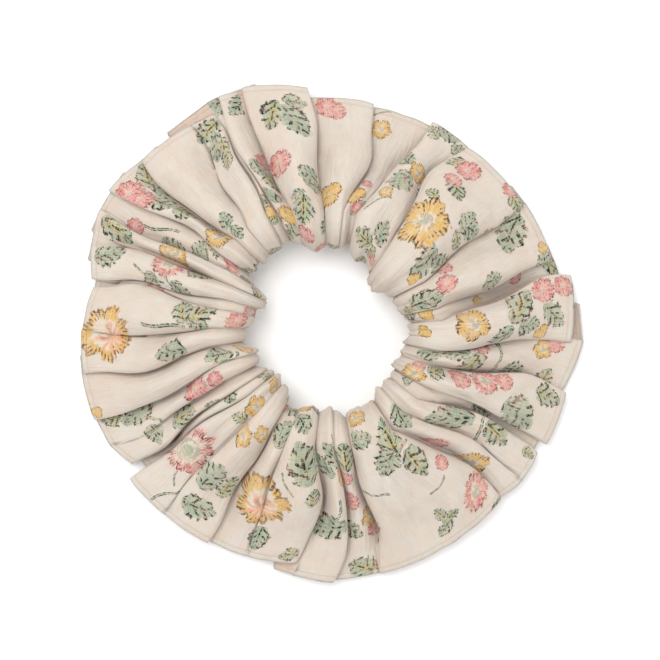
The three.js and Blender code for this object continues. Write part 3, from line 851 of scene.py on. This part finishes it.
def paint_flowers(colour, cover):
    """Petals round a heart: yellow ones with brown strokes, pink ones with a pale halo."""
    x, y, petals = attribute(cover.tree, "flower")
    yellow, inner, streaks = attribute(cover.tree, "flower_look")
    raised = x - streaks * 0.3
    radius = (raised * raised + y * y) ** 0.5
    angle = y.math("ARCTAN2", raised)
    lobe = abs((angle * petals * 0.5).sin())
    wobble = noise(x, y, petals, 2.4)
    teeth = (angle * petals * 3.0 + wobble * 3).cos() * 0.03
    edge = lobe ** 0.5 * 0.24 + teeth + wobble * 0.42 + 0.46
    inside = (radius - edge).rise(0.05, -0.04) * cover

    halo = (radius - edge - 0.12).rise(0.14, -0.1) * (1.0 - yellow) * wobble.rise(0.3, 0.5)
    colour = paint(colour, halo * 0.7, SHELL)
    grain = noise(angle * petals, radius * 2.0, petals, 0.9)
    warm = paint(MUSTARD, (grain * 1.2 - radius * 0.4).rise(0.15, 0.6), LEMON)
    rosy = paint(ROSE, grain.rise(0.42, 0.58), SHELL)
    rosy = paint(rosy, noise(x, y, petals + 6.0, 1.9).rise(0.5, 0.62) * 0.75, RED)
    colour = paint(colour, inside, paint(rosy, yellow, warm))

    from_base = (x * x + y * y) ** 0.5
    base_angle = y.math("ARCTAN2", x)
    pale_edge = inner + (angle * petals * 2.0).cos() * 0.07 + (wobble - 0.5) * 0.7
    big = inner.rise(0.2, 0.3)
    colour = paint(colour, (radius - pale_edge).rise(0.07, -0.07) * big, PALE)
    flames = (base_angle * 9.0 + wobble * 12).cos() * 0.28 + wobble * 0.5 + 0.12 - from_base
    colour = paint(colour, flames.rise(-0.12, 0.3) * streaks * inside * 0.85, SALMON)
    heart = (radius - inner * 0.38).rise(0.05, -0.05) * big * (1.0 - streaks)
    colour = paint(colour, heart * cover, CENTRE_GREEN)

    picked = noise(x, y, petals + 4.0, 3.6).rise(0.42, 0.5)
    fine = petals * 3.4 + 13.0
    strokes = (angle * fine.math("ROUND") + wobble * 9).cos().rise(0.1, 0.5)
    reach = noise(x, y, petals + 8.0, 4.0) * 0.45
    outer = (radius - edge + reach).rise(0.0, 0.05) * (radius - edge - 0.04).rise(0.03, -0.01)
    between = lobe.rise(0.2, 0.1) * (radius - inner * 0.9).rise(0.0, 0.06) * inside
    dots = strokes * abs(radius - inner * 0.6).rise(0.11, 0.06) * big * (1.0 - streaks)
    ripples = (radius * 15.0 + wobble * 8).sin().rise(0.3, 0.8)
    freckles = strokes * ripples * inside * noise(x, y, petals + 2.0, 2.2).rise(0.5, 0.58)
    ink = (strokes * outer).math("MAXIMUM", between).math("MAXIMUM", dots) * picked
    outline = abs(radius - edge + 0.03).rise(0.065, 0.03) * (1.0 - streaks * 0.4)
    outline = outline * noise(x, y, petals + 9.0, 3.4).rise(0.49, 0.54)
    ink = ink.math("MAXIMUM", freckles).math("MAXIMUM", outline)
    ink_colour = paint(INK, yellow, BROWN_INK)
    return paint(colour, ink * 0.92, ink_colour)


def world_place(tree):
    """The place in the shared frame, in mm."""
    place = tree.nodes.new("ShaderNodeNewGeometry")
    return [value / MM for value in three_numbers(tree, place.outputs["Position"])]


def add_bump(shader, height, strength, distance):
    bump = height.tree.nodes.new("ShaderNodeBump")
    bump.inputs["Strength"].default_value = strength
    bump.inputs["Distance"].default_value = distance
    connect(height, bump.inputs["Height"])
    height.tree.links.new(bump.outputs[0], shader.inputs["Normal"])


def new_material(name):
    material = bpy.data.materials.new(name)
    material.use_nodes = True
    return material, material.node_tree, material.node_tree.nodes["Principled BSDF"]


def hem_line(w):
    """1 on the pressed line that runs beside the rim, on the top and underneath."""
    from_rim = abs(w - ACROSS[-1] / 2) - (ACROSS[-1] / 2 - HEM_LINE)
    return abs(from_rim).rise(0.3, 0.08)


def printed_cotton():
    """Fine plain-woven voile in cream, with the flower print in the weave and painted warm shade in
    its folds.
    """
    material, tree, shader = new_material("printed_cotton")
    s, w, fold_shade = attribute(tree, "cloth")
    patches = noise(s, w, 0.0, 0.05)
    cloud = noise(s, w, 4.0, 0.35)
    colour = paint(CREAM, (patches * 0.6 + cloud * 0.5).rise(0.4, 0.75), BLUSH)
    # Painted warm shade at the bottom of the folds, standing in for light bounced inside them.
    colour = paint(colour, fold_shade.rise(0.15, 0.85) * 0.65, PAINTED_FOLD_SHADE)
    cover = noise(s, w, 1.0, 3.5, 3.0).rise(0.25, 0.6) * 0.35 + 0.65
    for paint_motifs in (paint_stems, paint_leaves, paint_flowers):
        colour = paint_motifs(colour, cover)

    slub_round = noise(s * 0.12, w * 3.2, 0.0, 1.0, 3.0)
    slub_across = noise(s * 3.2, w * 0.12, 7.0, 1.0, 3.0)
    slubs = slub_round + slub_across
    threads = (s * YARN_TURNS).sin() * (w * YARN_TURNS).sin()
    colour = paint(colour, slubs.rise(0.85, 1.25) * 0.6, SLUB)
    colour = paint(colour, threads.rise(0.2, 1.0) * 0.05, YARN_GAP)
    # Painted shade along the pressed groove beside the rim.
    colour = paint(colour, hem_line(w) * 0.16, HEM_SHADE)
    tree.links.new(colour, shader.inputs["Base Color"])
    wrinkles = noise(s * 0.8, w * 0.1, 2.0, 1.0)
    wrinkles = abs(wrinkles - 0.5).rise(0.12, 0.0)
    weave = slubs * 0.6 + threads * 0.12 - wrinkles * 0.5 - hem_line(w) * 0.8
    add_bump(shader, weave, 0.6, 0.00025)
    connect(slubs * 0.12 + 0.74, shader.inputs["Roughness"])
    for name, value in COTTON_FINISH.items():
        shader.inputs[name].default_value = value
    return material


def sewing_thread():
    """Two-ply cream thread: a twist that winds round it, with painted shade in the groove between the
    plies.
    """
    material, tree, shader = new_material("sewing_thread")
    x, y, z = world_place(tree)
    twist = ((x + y) * 9.0 + z * 14.0).sin()
    fuzz = noise(x, y, z, 6.0)
    # Painted shade in the twist's groove, where the bump is low.
    colour = paint(THREAD_LIGHT, twist.rise(0.0, -0.9) * 0.5, THREAD_GROOVE_SHADE)
    colour = paint(colour, fuzz.rise(0.5, 0.8) * 0.4, PALE)
    tree.links.new(colour, shader.inputs["Base Color"])
    add_bump(shader, twist * 0.5 + fuzz, 0.6, 0.0001)
    connect(fuzz * 0.2 + 0.5, shader.inputs["Roughness"])
    return material


def braided_elastic():
    """White flat braid: chevrons of yarn in ribs that run along the band, with painted shade in the
    grooves between ribs and between yarns.
    """
    material, tree, shader = new_material("braided_elastic")
    x, y, z = world_place(tree)
    along = y.math("ARCTAN2", x) * ELASTIC_RADIUS
    rib = (z * (2 * math.pi / RIB_WIDTH)).cos()
    chevron = (along * (2 * math.pi / YARN_PITCH) + rib.math("ARCCOSINE") * 1.4).sin()
    fuzz = noise(x, y, z, 3.0)
    # Painted shade in the grooves between the ribs and between the yarns, with random tone from the
    # fuzz.
    shade = rib.rise(-0.4, -1.0) * 0.45 + chevron.rise(0.0, -1.0) * 0.3 + fuzz * 0.15
    colour = paint(ELASTIC_LIGHT, shade, ELASTIC_GROOVE_SHADE)
    tree.links.new(colour, shader.inputs["Base Color"])
    add_bump(shader, rib * 0.5 + chevron * 0.35 + fuzz * 0.3, 0.8, 0.0003)
    connect(fuzz * 0.2 + 0.55, shader.inputs["Roughness"])
    shader.inputs["Sheen Weight"].default_value = 0.2
    return material


def tube(name, path, thickness, closed):
    """A round thread along a path of points in mm."""
    ahead = np.roll(path, -1, axis=0) - np.roll(path, 1, axis=0)
    if not closed:
        ahead[0], ahead[-1] = path[1] - path[0], path[-1] - path[-2]
    ahead = unit(ahead, 1e-9)
    side = unit(np.cross(ahead, (0.0, 0.0, 1.0)), 1e-9)
    over = np.cross(side, ahead)
    sides = np.linspace(0, 2 * np.pi, TUBE_SIDES, endpoint=False)[None, :, None]
    round_it = np.cos(sides) * side[:, None] + np.sin(sides) * over[:, None]
    rings = path[:, None] + thickness * round_it
    count = len(path)
    index = np.arange(count * TUBE_SIDES).reshape(count, TUBE_SIDES)
    after = np.roll(index, -1, axis=0)
    beside = np.roll(index, -1, axis=1)
    corner = np.roll(after, -1, axis=1)
    faces = np.stack([index, beside, corner, after], -1)
    faces = (faces if closed else faces[:-1]).reshape(-1, 4).tolist()
    if not closed:
        faces += [index[0][::-1].tolist(), index[-1].tolist()]
    mesh = bpy.data.meshes.new(name)
    mesh.from_pydata((rings.reshape(-1, 3) * MM).tolist(), [], faces)
    mesh.shade_smooth()
    return add_object(name, mesh)


def resample(path, step):
    """The path again, with points at even steps of its length in mm."""
    length = distance_along(path)
    wanted = np.linspace(0, length[-1], round(length[-1] / step))
    return read_off(path, length, wanted), wanted


def long_seam_path(points):
    """Running stitches along the rim, through both seam allowances."""
    rim = points[:, ALLOWANCE_ROWS]
    line = rim + SEAM_INSET * unit(points[:, 0] - rim)
    line, length = resample(np.vstack([line, line[:1]]), STITCH_LENGTH / 6)
    line, length = line[:-1], length[:-1]
    stitches = round(length[-1] / STITCH_LENGTH)
    line[:, 2] += STITCH_RISE * np.sin(np.arange(len(line)) / len(line) * stitches * 2 * np.pi)
    return line


def closing_seam_path(points):
    """Whip stitches round the joined ends of the tube, deep in the first fold."""
    ends = points[0, ALLOWANCE_ROWS + 2:-ALLOWANCE_ROWS - 2]
    line, length = resample(ends, STITCH_LENGTH / 8)
    along = unit(np.gradient(line, axis=0))
    side = unit(np.cross(along, (-math.sin(SEAM_TURN), math.cos(SEAM_TURN), 0)))
    over = np.cross(along, side)
    phase = (length / STITCH_LENGTH * 2 * np.pi)[:, None]
    return line + WHIP_REACH * (np.cos(phase) * side + np.sin(phase) * over)


points, cloth, owner, cloth_length = cover_points()
cover = add_object("scrunchie_cover", grid_mesh("scrunchie_cover", points * MM))
store_print(cover.data, points, owner, cloth, cloth_length)
cover.data.materials.append(printed_cotton())
thickness = cover.modifiers.new("thickness", "SOLIDIFY")
thickness.thickness = CLOTH_THICKNESS * MM
thickness.offset = 0
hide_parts("fabric_cover")
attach(cover, "root")

thread = sewing_thread()
for name, path, closed, node in (
    ("long_seam_stitches", long_seam_path(points), True, "long_seam_thread"),
    ("closing_seam_stitches", closing_seam_path(points), False, "closing_seam_thread"),
):
    stitches = tube(name, path, THREAD_RADIUS, closed)
    stitches.data.materials.append(thread)
    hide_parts(node)
    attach(stitches, "root")

for node, material in (("elastic_band", braided_elastic()), ("elastic_joint_thread", thread)):
    bpy.data.objects[node].material_slots[0].material = material

# ---------- floor, light, camera
FLOOR_REACH = 2.0
PAPER_WHITE = (0.96, 0.96, 0.96, 1)
SKY_STRENGTH = 0.95
KEY_PLACE, KEY_SIZE, KEY_WATTS = (-0.24, 0.3, 0.84), 0.6, 5.2
FILL_PLACE, FILL_SIZE, FILL_WATTS = (0.5, -0.4, 0.6), 0.8, 1.2
CAMERA_HEIGHT = 0.9
VIEW_WIDTH = 0.1584  # as wide as the picture is at VIEW_LEVEL
VIEW_LEVEL = 0.004
SENSOR_WIDTH = 36  # mm


def area_light(name, place, size, watts):
    lamp = bpy.data.lights.new(name, "AREA")
    lamp.size = size
    lamp.energy = watts
    piece = add_object(name, lamp)
    piece.location = place
    direction = -piece.location
    piece.rotation_euler = direction.to_track_quat("-Z", "Y").to_euler()


floor = add_object("floor", bpy.data.meshes.new("floor"))
corners = [(x * FLOOR_REACH, y * FLOOR_REACH, 0) for x, y in ((-1, -1), (1, -1), (1, 1), (-1, 1))]
floor.data.from_pydata(corners, [], [(0, 1, 2, 3)])
paper = bpy.data.materials.new("paper")
paper.use_nodes = True
paper.node_tree.nodes["Principled BSDF"].inputs["Base Color"].default_value = PAPER_WHITE
floor.data.materials.append(paper)

world = bpy.data.worlds.new("studio")
world.use_nodes = True
world.node_tree.nodes["Background"].inputs["Color"].default_value = (1, 1, 1, 1)
world.node_tree.nodes["Background"].inputs["Strength"].default_value = SKY_STRENGTH
bpy.context.scene.world = world
bpy.context.scene.view_settings.view_transform = "Standard"

area_light("key", KEY_PLACE, KEY_SIZE, KEY_WATTS)
area_light("fill", FILL_PLACE, FILL_SIZE, FILL_WATTS)

camera_data = bpy.data.cameras.new("camera")
camera_data.sensor_width = SENSOR_WIDTH
camera_data.lens = SENSOR_WIDTH * (CAMERA_HEIGHT - VIEW_LEVEL) / VIEW_WIDTH
camera = add_object("camera", camera_data)
camera.location = (0, 0, CAMERA_HEIGHT)
bpy.context.scene.camera = camera
